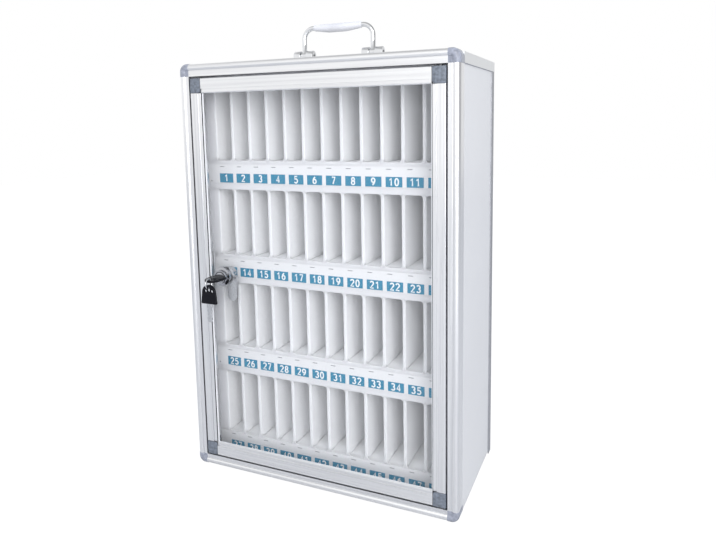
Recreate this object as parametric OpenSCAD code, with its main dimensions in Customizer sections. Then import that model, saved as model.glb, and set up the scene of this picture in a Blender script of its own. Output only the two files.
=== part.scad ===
// Phone locker: an aluminium framed cabinet with a clear lockable door, rows of
// upright slots, a cam lock with two keys and a folding carrying handle.
// Millimetres. X runs to the right, Y to the back and Z up. The origin is the
// centre of the underside, midway between the door's face and the back.

/* [Case] */
// Width over the front frame
case_w = 350; // [330:1:400]
// Height of the case without its handle
case_h = 515; // [440:1:620]
// Depth from the door's face to the back
case_d = 170; // [150:1:220]
// Thickness of the side panels
side_t = 3; // [2:0.5:5]
// How far the side panels sit inside the front frame's outer faces
side_inset = 1.5; // [1:0.25:3]
// Thickness of the back panel
back_t = 3; // [2:0.5:5]
// Thickness of the bottom panel
base_t = 2.5; // [1.5:0.5:4]
// How far the bottom panel's edges sit inside the side panels' outer faces
base_inset = 1; // [0:0.25:2]
// Sheet thickness of the top cover
cover_t = 1.5; // [1:0.25:2.5]
// How far the top cover lies below the front frame's top
cover_drop = 2.5; // [1:0.5:4]
// Height of the top cover's turned down side flanges
cover_flange = 11.5; // [6:0.5:20]
// Leg length of the rear corner angles
angle_leg = 12; // [8:0.5:20]
// Sheet thickness of the rear corner angles
angle_t = 1.2; // [0.8:0.1:2]

/* [Front frame] */
// Face width of the side and bottom rails
rail_face = 13; // [12:0.5:20]
// Face width of the top rail
top_rail_face = 15; // [12:0.5:20]
// Front to back size of the rails
rail_depth = 16; // [14:0.5:19]
// Wall thickness of the rails
rail_wall = 1.5; // [1:0.25:2]
// Radius of the rounded bead along the rails
bead_r = 4.5; // [4:0.25:7]
// How far the bead stands in front of the door's face
bead_proud = 1.5; // [0.5:0.25:2.5]
// Corner radius of the corner caps seen from the front
cap_corner_r = 9; // [7.5:0.5:11]
// How far the caps stand proud of the rails
cap_proud = 0.4; // [0:0.1:1]
// Length of the tongues that hold the caps in the rails
tongue_l = 12; // [6:1:20]
// Clearance of the tongues in the profiles' chambers
tongue_fit = 0.15; // [0.05:0.05:0.3]
// Width of the drawn grooves along the frame's and the door's profiles
groove_w = 0.7; // [0.5:0.1:1.2]
// Depth of the drawn grooves
groove_d = 0.5; // [0.3:0.1:0.8]

/* [Door] */
// Gap between the door and the frame at the hinge side
gap_hinge = 2; // [2:0.25:3]
// Gap between the door and the frame at the lock side
gap_latch = 1.5; // [1:0.25:3]
// Gap above the door
gap_top = 2.5; // [1.5:0.25:4]
// Gap below the door
gap_bottom = 1.5; // [1.25:0.25:3]
// Thickness of the door
door_t = 18; // [15:0.5:19]
// Face width of the door's upright stiles
stile_face = 15; // [14:0.5:22]
// Face width of the door's top and bottom rails
door_rail_face = 17.5; // [14:0.5:24]
// Width of the hollow body of the door's profiles behind their face
door_body = 8; // [7:0.5:9]
// Wall thickness of the door's profiles
door_wall = 1.3; // [1:0.1:2]
// Radius of the door profiles' outer edges
door_edge_r = 1; // [0.5:0.1:1.3]
// Width of the lip in front of the pane
lip_w = 4.2; // [3:0.1:6]
// Width of the lip behind the pane
back_lip_w = 3; // [2:0.25:3.5]
// Thickness of the pane's lips
lip_t = 1.6; // [1:0.1:2]
// How far the lip sits back from the door's face
lip_set = 0.8; // [0.4:0.1:1]
// Thickness of the clear pane
pane_t = 3; // [2:0.25:4]
// Thickness of the seal on each side of the pane
seal_t = 1.2; // [0.8:0.1:1.6]
// Thickness of the seal round the pane's edge
seal_edge = 0.8; // [0.5:0.1:1.5]
// How far the seal shows beyond the lips
seal_show = 0.3; // [0:0.1:1]
// Side of the small notch at the inner corner of the corner blocks
notch = 2.5; // [1:0.25:3]

/* [Pivots] */
// Diameter of the door's pivot pins
pin_d = 5; // [4:0.25:6]
// From the door's hinge edge to the pin's axis
pin_inset = 7; // [6:0.25:8]
// From the door's face to the pin's axis
pin_set = 5; // [4:0.25:6]
// How far a pin reaches into the corner block
pin_hold = 7.5; // [5:0.5:7.5]
// How far a pin reaches into its bush
pin_reach = 5; // [3:0.5:6]
// Running clearance on the radius between pin and bush
pin_fit = 0.05; // [0.02:0.01:0.1]
// Clearance at a pin's end
pin_end = 0.2; // [0.1:0.1:0.5]
// Outer diameter of the bushes
bush_d = 7.5; // [7:0.25:9]
// Flange diameter of the bushes
bush_flange_d = 9.5; // [8.5:0.25:10]
// Thickness of the bushes' end wall behind the pin
bush_end = 1; // [0.5:0.25:2]
// Thickness of the upper bush's flange
upper_flange_t = 1; // [0.5:0.1:1.2]
// Clearance of the door above the lower bush's flange
door_seat = 0.3; // [0.1:0.1:0.4]

/* [Cells] */
// Slots side by side in a row
columns = 12; // [8:1:12]
// Clear width of a slot
cell_w = 21; // [16:0.5:22]
// Distance between neighbouring slots
cell_pitch = 25.2; // [24:0.1:26]
// Height of the foam strips between the rows' windows
strip_h = 36.5; // [33:0.5:60]
// Height of the lowest row's floor
first_floor = 31.5; // [30:0.5:60]
// Height of the foam strip above the highest row's windows
top_strip_h = 25; // [16:0.5:50]
// How much taller the highest row's windows are
top_extra = 5; // [0:0.5:8]
// From the door's face to the front of the slots
cell_set = 34; // [32:0.5:45]
// Thickness of the foam strips in front
strip_t = 4; // [3:0.5:6]
// Thickness of the shelves and of the ceiling board
shelf_t = 5; // [3:0.5:8]
// Corner radius of the slots' windows
window_r = 3; // [1:0.5:4]
// Nose radius of the dividers' front edges
nose_r = 1.6; // [0.8:0.1:2]
// Clear height between the ceiling board and the top cover
roof_room = 5; // [4.5:0.5:8]

/* [Labels] */
// Height of the label cards
card_h = 24; // [20:0.5:26]
// Thickness of the label cards
card_t = 0.6; // [0.4:0.1:1]
// From a row's floor down to its card's top edge
card_drop = 4.5; // [4.5:0.5:6]
// How far the cards stay clear of the case's side panels
card_margin = 7; // [4:1:16]
// Width of a number plate
plate_w = 20; // [16:0.2:22]
// Height of a number plate
plate_h = 11.6; // [8:0.2:12]
// Thickness of a number plate
plate_t = 0.4; // [0.2:0.1:0.8]
// From a row's floor down to the middle of its number plates
plate_drop = 22; // [18:0.5:22.5]
// How far the plates sit to the right of their slots' middles
plate_shift = 2.2; // [0:0.2:3]
// How much nearer to their floor the lowest row's card and plates sit
bottom_rise = 4; // [0:0.5:4]

/* [Lock] */
// From the door's lock edge to the lock's axis
lock_inset = 33.5; // [30:0.5:45]
// From the middle of the door down to the lock's axis
lock_drop = 2; // [0:0.5:10]
// Diameter of the lock's flange
flange_d = 24; // [20:0.5:28]
// Thickness of the lock's flange
flange_t = 3; // [2:0.25:4]
// Diameter of the nose that stands in front of the flange
nose_d = 17; // [15:0.5:18.5]
// How far the nose stands in front of the flange
nose_l = 4; // [1.5:0.25:4.5]
// Diameter of the barrel
barrel_d = 18; // [17:0.5:20]
// Length of the barrel behind the pane's front
barrel_l = 17.5; // [14:0.5:19]
// Clearance on the radius of the barrel in the pane and in its nut
barrel_fit = 0.1; // [0.05:0.05:0.3]
// Width across the flats of the nut
nut_af = 22; // [20.5:0.5:26]
// Thickness of the nut
nut_t = 4; // [3:0.5:6]
// Diameter of the turning plug
plug_d = 12; // [11:0.25:13]
// Running clearance on the radius of the plug
plug_fit = 0.05; // [0.02:0.01:0.1]
// How far the plug stands out behind the barrel
plug_proud = 0.3; // [0.1:0.1:1]
// Clearance between the cam and the plug's shoulder
cam_play = 0.2; // [0.1:0.1:0.5]
// Side of the square tail that drives the cam
tail_side = 7; // [5:0.25:8]
// Clearance on each side of the tail in the cam
tail_fit = 0.05; // [0.02:0.01:0.1]
// Thickness of the cam
cam_t = 2; // [1.5:0.25:3]
// Width of the cam
cam_w = 14; // [12:0.5:18]
// How far the cam reaches behind the strike's lip
cam_hold = 12; // [5:0.5:14]
// Diameter of the cam screw's head
cam_screw_d = 9; // [8.5:0.5:12]
// Height of the cam screw's head
cam_screw_h = 2; // [1.5:0.25:3]
// Diameter of the cam screw's shank
cam_screw_shank = 4; // [3:0.25:5]

/* [Strike] */
// Height of the strike plate
strike_h = 80; // [50:1:120]
// Sheet thickness of the strike plate
strike_t = 1.5; // [1:0.25:2]
// How far the strike's lip reaches past the frame's edge
strike_lip = 10; // [7:0.5:10.5]
// Length of the strike's leg along the side panel
strike_leg = 11; // [8:0.5:11.5]
// Clearance between the strike's lip and the cam
cam_gap = 0.3; // [0.2:0.1:0.6]
// Clearance between the closed door and the bumper pads
bumper_gap = 0.3; // [0.2:0.1:0.6]
// Height of a bumper pad
bumper_h = 14; // [8:1:20]
// Width of a bumper pad
bumper_w = 7; // [4:0.5:8]
// Shank diameter of the strike's rivets
rivet_d = 4; // [3:0.25:5]
// Head diameter of the strike's rivets
rivet_head_d = 7.5; // [6:0.5:9]
// Head height of the strike's rivets
rivet_head_h = 1.2; // [0.8:0.1:2]

/* [Keys] */
// Width of a key's head
head_w = 22; // [17.4:0.2:24]
// Length of a key's head
head_l = 23.5; // [22:0.5:30]
// Thickness of a key's head
head_t = 3; // [2.5:0.25:3.5]
// How much a key's head widens on each side towards its shoulder
head_flare = 1.5; // [0:0.1:1.5]
// Width of the rim beyond a key's eye
web = 3; // [2.5:0.25:3.5]
// Width of a key's eye across the head
eye_w = 9; // [8:0.5:10]
// Length of a key's eye along the head
eye_l = 6.6; // [6.2:0.2:7.5]
// Width of a key's blade
blade_w = 7.5; // [6:0.25:8]
// Thickness of a key's blade
blade_t = 2; // [1.5:0.25:2.5]
// Length of a key's blade
blade_l = 23; // [20:0.5:23]
// Length of the chamfers at a blade's tip
blade_tip = 2.2; // [1:0.1:3]
// Cuts along each edge of a blade
cuts = 4; // [1:1:4]
// Distance between the cuts
cut_step = 4; // [3:0.25:5]
// Side of the square cutter that makes them
cut_side = 1.6; // [0.5:0.1:2]
// Clearance between a blade and the keyway
key_fit = 0.15; // [0.1:0.05:0.3]
// Clearance between a blade's tip and the keyway's end
key_end = 0.3; // [0.1:0.1:0.5]
// Clearance between the key's head and the lock's nose
head_gap = 0.5; // [0.3:0.1:1.5]
// Inner radius of the ring that joins the keys
ring_r = 5.2; // [5:0.1:6]
// Wire diameter of that ring
wire_d = 1.3; // [1:0.1:1.5]
// Least clearance between the ring and the keys
ring_gap = 0.3; // [0.2:0.05:0.4]

/* [Handle] */
// Distance between the legs' middles
leg_span = 93; // [80:1:120]
// Height of the handle's top above the case
handle_h = 46.5; // [40:0.5:60]
// Height of the handle's pivots above the case
pivot_h = 10; // [9.5:0.5:14]
// Rod diameter of the bail
rod_d = 6; // [5:0.25:6]
// Bend radius at the rod's middle
bend_r = 13; // [10:0.5:16]
// Diameter of the eyes at the bail's ends
boss_d = 9.5; // [8.5:0.25:10]
// Pivot pin diameter
handle_pin_d = 4; // [3:0.25:5]
// Running clearance on the radius of the handle's pivots
handle_fit = 0.05; // [0.02:0.01:0.1]
// Length of the grip
grip_l = 66; // [40:1:66]
// Height of the grip in its middle
grip_h = 10.5; // [9:0.5:14]
// Front to back size of the grip
grip_w = 14; // [10:0.5:18]
// Height of the grip at its ends
grip_end_h = 8; // [7:0.5:9]
// Front to back size of the grip at its ends
grip_end_w = 9; // [7:0.5:12]
// Length of the rounding at the grip's ends
grip_round = 3; // [1:0.5:5]
// Length of the rounding of the grip's fuller middle
belly_round = 8; // [4:0.5:12]
// Width of a bracket
bracket_w = 26; // [22:0.5:32]
// Front to back size of a bracket's foot
bracket_d = 20; // [16:0.5:26]
// Thickness of a bracket's foot
foot_t = 2.5; // [2:0.5:4]
// Radius of a bracket's rounded ears
ear_r = 6.5; // [6:0.25:7.5]
// Clearance on each side of the bail's eye in its bracket
eye_side_gap = 0.5; // [0.3:0.1:1]
// Shank diameter of the bracket screws
bracket_screw_d = 4; // [3:0.25:4.5]
// How far the bracket screws reach past the feet into the ears
screw_bite = 2.5; // [1.5:0.5:3]
// Head diameter of the bracket screws
bracket_head_d = 7.5; // [6:0.5:9]
// Head height of the bracket screws
bracket_head_h = 2.5; // [2:0.25:3]

/* [Back screws] */
// Diameter of the back screws' flush heads
back_screw_d = 6; // [4:0.5:8]
// Shank diameter of the back screws
back_shank_d = 3; // [2:0.25:4]
// Screws in each rear angle
back_screws = 4; // [2:1:6]

/* [Hidden] */
$fn = 48;

// Overall places
front_y = -case_d / 2;
back_y = case_d / 2;
side_out = case_w / 2 - side_inset;
side_in = side_out - side_t;
cover_top = case_h - cover_drop;
cover_under = cover_top - cover_t;
cover_edge = cover_top - cover_flange;
panel_y = front_y + rail_depth;
back_out = back_y - angle_t;
back_in = back_out - back_t;
opening_x = case_w / 2 - rail_face;
opening_low = rail_face;
opening_high = case_h - top_rail_face;
bead_v = bead_r - bead_proud;

// Door places
door_left = -opening_x + gap_latch;
door_right = opening_x - gap_hinge;
door_low = opening_low + gap_bottom;
door_high = opening_high - gap_top;
door_mid = (door_low + door_high) / 2;
channel_front = lip_set + lip_t;
pane_front = channel_front + seal_t;
channel_back = pane_front + pane_t + seal_t;
back_reach = door_body + back_lip_w;
pin_x = door_right - pin_inset;
pin_y = front_y + pin_set;
bush_depth = pin_reach + bush_end;
pane_left = door_left + door_body + seal_edge;
pane_right = door_right - door_body - seal_edge;
pane_low = door_low + door_body + seal_edge;
pane_high = door_high - door_body - seal_edge;

// The rows share the height evenly. Each has pieces of its own, so there are four.
rows = 4;
row_pitch = (cover_under - top_strip_h - top_extra - first_floor + strip_h) / rows;
cell_h = row_pitch - strip_h;

// Cell places
cell_front = front_y + cell_set;
divider_w = cell_pitch - cell_w;
cells_edge = columns * cell_pitch / 2 + divider_w / 2;
ceiling_low = cover_under - roof_room - shelf_t;
function floor_z(row) = first_floor + (rows - row) * row_pitch;
function roof_z(row) = row == 1 ? ceiling_low : floor_z(row - 1) - shelf_t;
function window_top(row) = floor_z(row) + cell_h + (row == 1 ? top_extra : 0);
function label_rise(row) = row == rows ? bottom_rise : 0;
function cell_x(column) = (column - (columns + 1) / 2) * cell_pitch;

// Lock places
lock_x = door_left + lock_inset;
lock_z = door_mid - lock_drop;
pane_y = front_y + pane_front;
flange_y = pane_y - flange_t;
nose_y = flange_y - nose_l;
barrel_end = pane_y + barrel_l;
plug_end = barrel_end + plug_proud;
cam_y = plug_end + cam_play;
cam_back = cam_y + cam_t;
strike_edge = -opening_x + strike_lip;
cam_reach = lock_x - (strike_edge - cam_hold);
strike_y = cam_y - cam_gap - strike_t;
keyway_l = blade_l + head_gap + key_end;

// Key places
key_y = nose_y - head_gap;
eye_corner = sqrt(pow(web / 2, 2) + pow(head_t / 2, 2));
ring_drop = ring_r - eye_corner - ring_gap;
ring_y = key_y - head_l + web / 2;
ring_z = lock_z - ring_drop;
hang_z = ring_z - ring_drop - web / 2;

// Handle places
pivot_z = case_h + pivot_h;
boss_w = rod_d + 1;
leg_top = case_h + handle_h - rod_d / 2;
ear_gap = boss_w + 2 * eye_side_gap;
bracket_screw_l = cover_t + foot_t + screw_bite;

// A box given by its lowest and highest corners
module span(low, high) {
    translate(low) cube(high - low);
}

// A cylinder along Y from y0 to y1
module rod_y(d, x, z, y0, y1) {
    translate([x, y0, z]) rotate([-90, 0, 0]) cylinder(d = d, h = y1 - y0);
}

// A cylinder along X from x0 to x1
module rod_x(d, x0, x1, y, z) {
    translate([x0, y, z]) rotate([0, 90, 0]) cylinder(d = d, h = x1 - x0);
}

// Turns a profile, drawn outward along X and backward along Y, into a bar along
// an edge of the opening. The side is "left", "right", "top" or "bottom".
module along_edge(side, from, to) {
    length = to - from;
    if (side == "right") translate([opening_x, front_y, from])
        linear_extrude(length) children();
    if (side == "left") translate([-opening_x, front_y, from]) mirror([1, 0, 0])
        linear_extrude(length) children();
    if (side == "top") translate([from, front_y, opening_high]) rotate([0, -90, 0])
        mirror([0, 0, 1]) linear_extrude(length) children();
    if (side == "bottom") translate([from, front_y, opening_low]) rotate([0, -90, 0])
        mirror([1, 0, 0]) mirror([0, 0, 1]) linear_extrude(length) children();
}

// Outline of a frame rail: a flat strip beside the door, a rounded bead outside it
module rail_outline(face, grow) {
    square([face - bead_r, rail_depth]);
    translate([0, bead_v]) square([face + grow, rail_depth - bead_v]);
    translate([face - bead_r, bead_v]) circle(r = bead_r + grow);
}

// The chamber inside a frame rail
module rail_chamber(face, shrink) {
    translate([rail_wall + shrink, bead_v + shrink])
        square([face - 2 * rail_wall - 2 * shrink,
                rail_depth - bead_v - rail_wall - 2 * shrink]);
}

// The drawn groove at the foot of the bead
module rail_groove(face) {
    bead_foot = face - bead_r - sqrt(pow(bead_r, 2) - pow(bead_v, 2));
    translate([bead_foot - groove_w / 2, -bead_r]) square([groove_w, bead_r + groove_d]);
}

module frame_rail(side, face, from, to) {
    along_edge(side, from, to) difference() {
        rail_outline(face, 0);
        rail_chamber(face, 0);
        rail_groove(face);
    }
}

// The hole in a rail for a pivot bush
module bush_hole(z) {
    translate([pin_x, pin_y, z]) cylinder(d = bush_d, h = bush_depth);
}

module rail_top() {
    color("gainsboro") difference() {
        frame_rail("top", top_rail_face, -opening_x, opening_x);
        bush_hole(opening_high);
    }
}

module rail_bottom() {
    color("gainsboro") difference() {
        frame_rail("bottom", rail_face, -opening_x, opening_x);
        bush_hole(opening_low - bush_depth);
    }
}

module rail_left() {
    color("gainsboro") frame_rail("left", rail_face, opening_low, opening_high);
}

module rail_right() {
    color("gainsboro") frame_rail("right", rail_face, opening_low, opening_high);
}

// The part of a rail's outline that goes round the corner
module corner_outline(face) {
    translate([cap_corner_r - face, 0]) intersection() {
        rail_outline(face, cap_proud);
        translate([face - cap_corner_r, -rail_depth])
            square([cap_corner_r + cap_proud, 3 * rail_depth]);
    }
}

// A corner cap drawn for the top right corner of an opening whose corner is the
// origin, with side rails of one face width and an upper rail of another
module corner_cap(side_face, end_face) {
    side_run = side_face - cap_corner_r;
    end_run = end_face - cap_corner_r;
    rotate([0, -90, 0]) mirror([0, 0, 1]) linear_extrude(side_run)
        rail_outline(end_face, cap_proud);
    linear_extrude(end_run) rail_outline(side_face, cap_proud);
    translate([side_run, 0, end_run]) rotate([90, 0, 0]) mirror([0, 0, 1])
        rotate_extrude(angle = 90) corner_outline(side_face);
    translate([0, 0, -tongue_l]) linear_extrude(tongue_l)
        rail_chamber(side_face, tongue_fit);
    translate([-tongue_l, 0, 0]) rotate([0, -90, 0]) mirror([0, 0, 1])
        linear_extrude(tongue_l) rail_chamber(end_face, tongue_fit);
}

module cap_top_right() {
    color("slategray") difference() {
        translate([opening_x, front_y, opening_high]) corner_cap(rail_face, top_rail_face);
        bush_hole(opening_high);
    }
}

module cap_top_left() {
    color("slategray") mirror([1, 0, 0]) translate([opening_x, front_y, opening_high])
        corner_cap(rail_face, top_rail_face);
}

module cap_bottom_right() {
    color("slategray") difference() {
        translate([opening_x, front_y, opening_low]) mirror([0, 0, 1])
            corner_cap(rail_face, rail_face);
        bush_hole(opening_low - bush_depth);
    }
}

module cap_bottom_left() {
    color("slategray") mirror([1, 0, 0]) translate([opening_x, front_y, opening_low])
        mirror([0, 0, 1]) corner_cap(rail_face, rail_face);
}

module side_panel() {
    span([side_in, panel_y, base_t], [side_out, back_out, cover_under]);
}

module side_panel_right() {
    color("whitesmoke") side_panel();
}

module side_panel_left() {
    color("whitesmoke") difference() {
        mirror([1, 0, 0]) side_panel();
        strike_rivet_places() cylinder(d = rivet_d, h = 4 * side_t, center = true);
    }
}

module back_panel() {
    color("whitesmoke") difference() {
        span([-side_in, back_in, base_t], [side_in, back_out, cover_under]);
        rear_screw_shanks();
    }
}

module bottom_panel() {
    color("whitesmoke") span(
        [base_inset - side_out, panel_y, 0], [side_out - base_inset, back_out, base_t]);
}

// The top cover is one sheet with flanges turned down over the side and back panels
module top_cover() {
    color("gainsboro") difference() {
        union() {
            span([-case_w / 2, panel_y, cover_under], [case_w / 2, back_y, cover_top]);
            for (side = [0, 1]) mirror([side, 0, 0])
                span([side_out, panel_y, cover_edge], [case_w / 2, back_y, cover_under]);
            span([-side_out, back_out, cover_edge], [side_out, back_y, cover_under]);
        }
        bracket_screw_places() cylinder(d = bracket_screw_d, h = 8 * cover_t, center = true);
    }
}

// Screws stand evenly along the middle of each rear angle's back leg
module rear_screw_places() {
    screw_x = side_out + (angle_t - angle_leg) / 2;
    for (side = [0, 1], n = [1:back_screws]) mirror([side, 0, 0])
        translate([screw_x, back_y, n * cover_edge / (back_screws + 1)])
            rotate([90, 0, 0]) children();
}

module rear_screw_shanks() {
    rear_screw_places() cylinder(d = back_shank_d, h = angle_t + back_t);
}

module rear_angle() {
    difference() {
        union() {
            span([side_out, back_y - angle_leg, 0], [side_out + angle_t, back_y, cover_edge]);
            span([side_out + angle_t - angle_leg, back_out, 0],
                 [side_out, back_y, cover_edge]);
        }
        rear_screw_places() cylinder(d = back_screw_d, h = angle_t);
    }
}

module rear_angle_right() {
    color("silver") rear_angle();
}

module rear_angle_left() {
    color("silver") mirror([1, 0, 0]) rear_angle();
}

module rear_screws() {
    color("darkgray") {
        rear_screw_shanks();
        rear_screw_places() cylinder(d = back_screw_d, h = angle_t);
    }
}

module board(low, high) {
    span([-side_in, cell_front + strip_t, low], [side_in, back_in, high]);
}

module shelf(row) {
    color("white") board(floor_z(row) - shelf_t, floor_z(row));
}

module ceiling_board() {
    color("white") board(ceiling_low, ceiling_low + shelf_t);
}

// Seen from above: a divider with a rounded nose at the front
module divider_outline() {
    depth = back_in - cell_front;
    half = divider_w / 2;
    translate([-half, nose_r]) square([divider_w, depth - nose_r]);
    translate([nose_r - half, 0]) square([divider_w - 2 * nose_r, nose_r]);
    for (side = [-1, 1]) translate([side * (half - nose_r), nose_r]) circle(r = nose_r);
}

// A slice of the space behind the front strips, or of the window between them
module divider_slice(row, low, high, front) {
    intersection() {
        union() {
            for (n = [0:columns]) translate([cell_x(n) + cell_pitch / 2, cell_front, low])
                linear_extrude(high - low) divider_outline();
            for (side = [0, 1]) mirror([side, 0, 0])
                span([cells_edge - divider_w / 2, cell_front, low], [side_in, back_in, high]);
        }
        span([-side_in, front, low], [side_in, back_in, high]);
    }
}

// The dividers fill a row from its shelf to the next, and their noses stand in the
// windows between the front strips
module dividers(row) {
    color("white") {
        divider_slice(row, floor_z(row), window_top(row), cell_front);
        divider_slice(row, window_top(row), roof_z(row), cell_front + strip_t);
    }
}

// Rounds the corners of the windows above or below a strip
module window_corners(edge, direction) {
    for (n = [1:columns], side = [-1, 1])
        translate([cell_x(n) + side * cell_w / 2, edge]) difference() {
            translate([min(0, -side * window_r), min(0, direction * window_r)])
                square(window_r);
            translate([-side * window_r, direction * window_r]) circle(r = window_r);
        }
}

// A foam strip across the case, with the rounded corners of the windows it borders
module strip(low, high, corners_below, corners_above) {
    translate([0, cell_front + strip_t, 0]) rotate([90, 0, 0]) linear_extrude(strip_t) {
        translate([-side_in, low]) square([2 * side_in, high - low]);
        if (corners_below) window_corners(low, -1);
        if (corners_above) window_corners(high, 1);
    }
}

module strip_row(row) {
    low = row == rows ? base_t : window_top(row + 1);
    color("white") strip(low, floor_z(row), row < rows, true);
}

module strip_top() {
    color("white") strip(window_top(1), cover_under, true, false);
}

module label_cards() {
    edge = side_in - card_margin;
    color("ivory") for (row = [1:rows]) {
        top = floor_z(row) - card_drop + label_rise(row);
        span([-edge, cell_front - card_t, top - card_h], [edge, cell_front, top]);
    }
}

module number_plates() {
    plate_y = cell_front - card_t;
    color("steelblue") for (row = [1:rows], n = [1:columns])
        translate([cell_x(n) + plate_shift - plate_w / 2, plate_y - plate_t,
                   floor_z(row) - plate_drop + label_rise(row) - plate_h / 2])
            cube([plate_w, plate_t, plate_h]);
}

module strike_rivet_places() {
    for (side = [-1, 1])
        translate([-side_in, strike_y + strike_t + strike_leg / 2,
                   lock_z + side * strike_h / 3])
            rotate([0, 90, 0]) children();
}

// An angle on the left side panel: the cam turns in behind its lip
module strike_plate() {
    color("silver") difference() {
        union() {
            span([-side_in, strike_y, lock_z - strike_h / 2],
                 [strike_edge, strike_y + strike_t, lock_z + strike_h / 2]);
            span([-side_in, strike_y, lock_z - strike_h / 2],
                 [strike_t - side_in, strike_y + strike_t + strike_leg,
                  lock_z + strike_h / 2]);
        }
        strike_rivet_places() cylinder(d = rivet_d, h = 4 * strike_t, center = true);
    }
}

module strike_rivets() {
    color("darkgray") strike_rivet_places() {
        translate([0, 0, -side_t]) cylinder(d = rivet_d, h = side_t + strike_t);
        translate([0, 0, -side_t - rivet_head_h]) cylinder(d = rivet_head_d, h = rivet_head_h);
        translate([0, 0, strike_t]) cylinder(d = rivet_head_d, h = rivet_head_h);
    }
}

// Soft pads on the strike's lip that the closed door's stile comes to rest on
module door_bumpers() {
    pad_front = front_y + door_t + bumper_gap;
    color("dimgray") for (side = [-1, 1])
        translate([strike_edge - bumper_w, pad_front,
                   lock_z + side * (strike_h - bumper_h) / 2 - bumper_h / 2])
            cube([bumper_w, strike_y - pad_front, bumper_h]);
}

// A flanged bush, drawn upside down for the top rail: its flange faces the door
module bush(flange_t) {
    difference() {
        union() {
            cylinder(d = bush_d, h = bush_depth);
            translate([0, 0, -flange_t]) cylinder(d = bush_flange_d, h = flange_t);
        }
        translate([0, 0, -2 * flange_t])
            cylinder(d = pin_d + 2 * pin_fit, h = pin_reach + 2 * flange_t + pin_end);
    }
}

module upper_bush() {
    color("dimgray") translate([pin_x, pin_y, opening_high]) bush(upper_flange_t);
}

module lower_bush() {
    color("dimgray") translate([pin_x, pin_y, opening_low]) mirror([0, 0, 1])
        bush(gap_bottom - door_seat);
}

// Outline of a door profile: a hollow body, a face in front of it, a groove and a
// stepped lip in front of the pane and a lip behind it
module door_outline(face) {
    difference() {
        union() {
            translate([door_edge_r, 0]) square([face - lip_w - door_edge_r, channel_front]);
            translate([door_edge_r, 0]) square([door_body - door_edge_r, door_t]);
            translate([0, door_edge_r]) square([door_body, door_t - 2 * door_edge_r]);
            for (v = [door_edge_r, door_t - door_edge_r]) translate([door_edge_r, v])
                circle(r = door_edge_r);
        }
        door_chamber(0);
        translate([face - lip_w - groove_w, -1]) square([groove_w, lip_set + groove_d + 1]);
    }
    translate([face - lip_w, lip_set]) square([lip_w - lip_t / 2, lip_t]);
    translate([face - lip_t / 2, lip_set + lip_t / 2]) circle(d = lip_t);
    translate([door_body, channel_back]) square([back_lip_w, lip_t]);
}

module door_chamber(shrink) {
    translate([door_wall + shrink, door_wall + shrink])
        square([door_body - 2 * door_wall - 2 * shrink,
                door_t - 2 * door_wall - 2 * shrink]);
}

module stile() {
    translate([0, front_y, door_low + door_rail_face])
        linear_extrude(door_high - door_low - 2 * door_rail_face) door_outline(stile_face);
}

module door_stile_left() {
    color("gainsboro") translate([door_left, 0, 0]) stile();
}

module door_stile_right() {
    color("gainsboro") translate([door_right, 0, 0]) mirror([1, 0, 0]) stile();
}

// A horizontal door profile along X whose outline runs up from its outer edge
module door_rail() {
    from = door_left + stile_face;
    to = door_right - stile_face;
    translate([from, front_y, 0]) rotate([0, -90, 0]) mirror([0, 0, 1])
        linear_extrude(to - from) door_outline(door_rail_face);
}

module door_rail_bottom() {
    color("gainsboro") translate([0, 0, door_low]) door_rail();
}

module door_rail_top() {
    color("gainsboro") translate([0, 0, door_high]) mirror([0, 0, 1]) door_rail();
}

// A corner block drawn at the door's lower left corner: a face with a small notch at
// its inner corner, two legs and two lips behind it, and a tongue in each profile
module corner_block() {
    difference() {
        cube([stile_face, channel_front, door_rail_face]);
        translate([stile_face, -1, door_rail_face]) rotate([-90, 0, 0])
            linear_extrude(channel_front + 2)
                polygon([[1, 0], [-notch, 0], [0, notch], [1, notch]]);
    }
    cube([door_body, door_t, door_rail_face]);
    cube([stile_face, door_t, door_body]);
    translate([0, channel_back, 0]) {
        cube([back_reach, lip_t, door_rail_face]);
        cube([stile_face, lip_t, back_reach]);
    }
    translate([0, 0, door_rail_face]) linear_extrude(tongue_l) door_chamber(tongue_fit);
    translate([stile_face, 0, 0]) rotate([0, -90, 0]) mirror([0, 0, 1])
        linear_extrude(tongue_l) door_chamber(tongue_fit);
}

module door_corner_blocks() {
    color("slategray") {
        translate([door_left, front_y, door_low]) corner_block();
        translate([door_left, front_y, door_high]) mirror([0, 0, 1]) corner_block();
    }
}

module pin_hole(z0, z1) {
    translate([pin_x, pin_y, z0]) cylinder(d = pin_d, h = z1 - z0);
}

module door_pivot_blocks() {
    color("slategray") difference() {
        union() {
            translate([door_right, front_y, door_low]) mirror([1, 0, 0]) corner_block();
            translate([door_right, front_y, door_high]) mirror([1, 0, 0])
                mirror([0, 0, 1]) corner_block();
        }
        pin_hole(door_low - 1, door_low + pin_hold);
        pin_hole(door_high - pin_hold, door_high + 1);
    }
}

module pivot_pins() {
    color("silver") {
        pin_hole(opening_low - pin_reach, door_low + pin_hold);
        pin_hole(door_high - pin_hold, opening_high + pin_reach);
    }
}

module door_pane() {
    color("aliceblue", 0.3) difference() {
        span([pane_left, pane_y, pane_low], [pane_right, pane_y + pane_t, pane_high]);
        rod_y(barrel_d + 2 * barrel_fit, lock_x, lock_z, pane_y - 1, pane_y + pane_t + 1);
    }
}

// The space inside the door's edges at a distance, from one depth to another
module door_window(side, level, y0, y1) {
    span([door_left + side, y0, door_low + level], [door_right - side, y1, door_high - level]);
}

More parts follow.
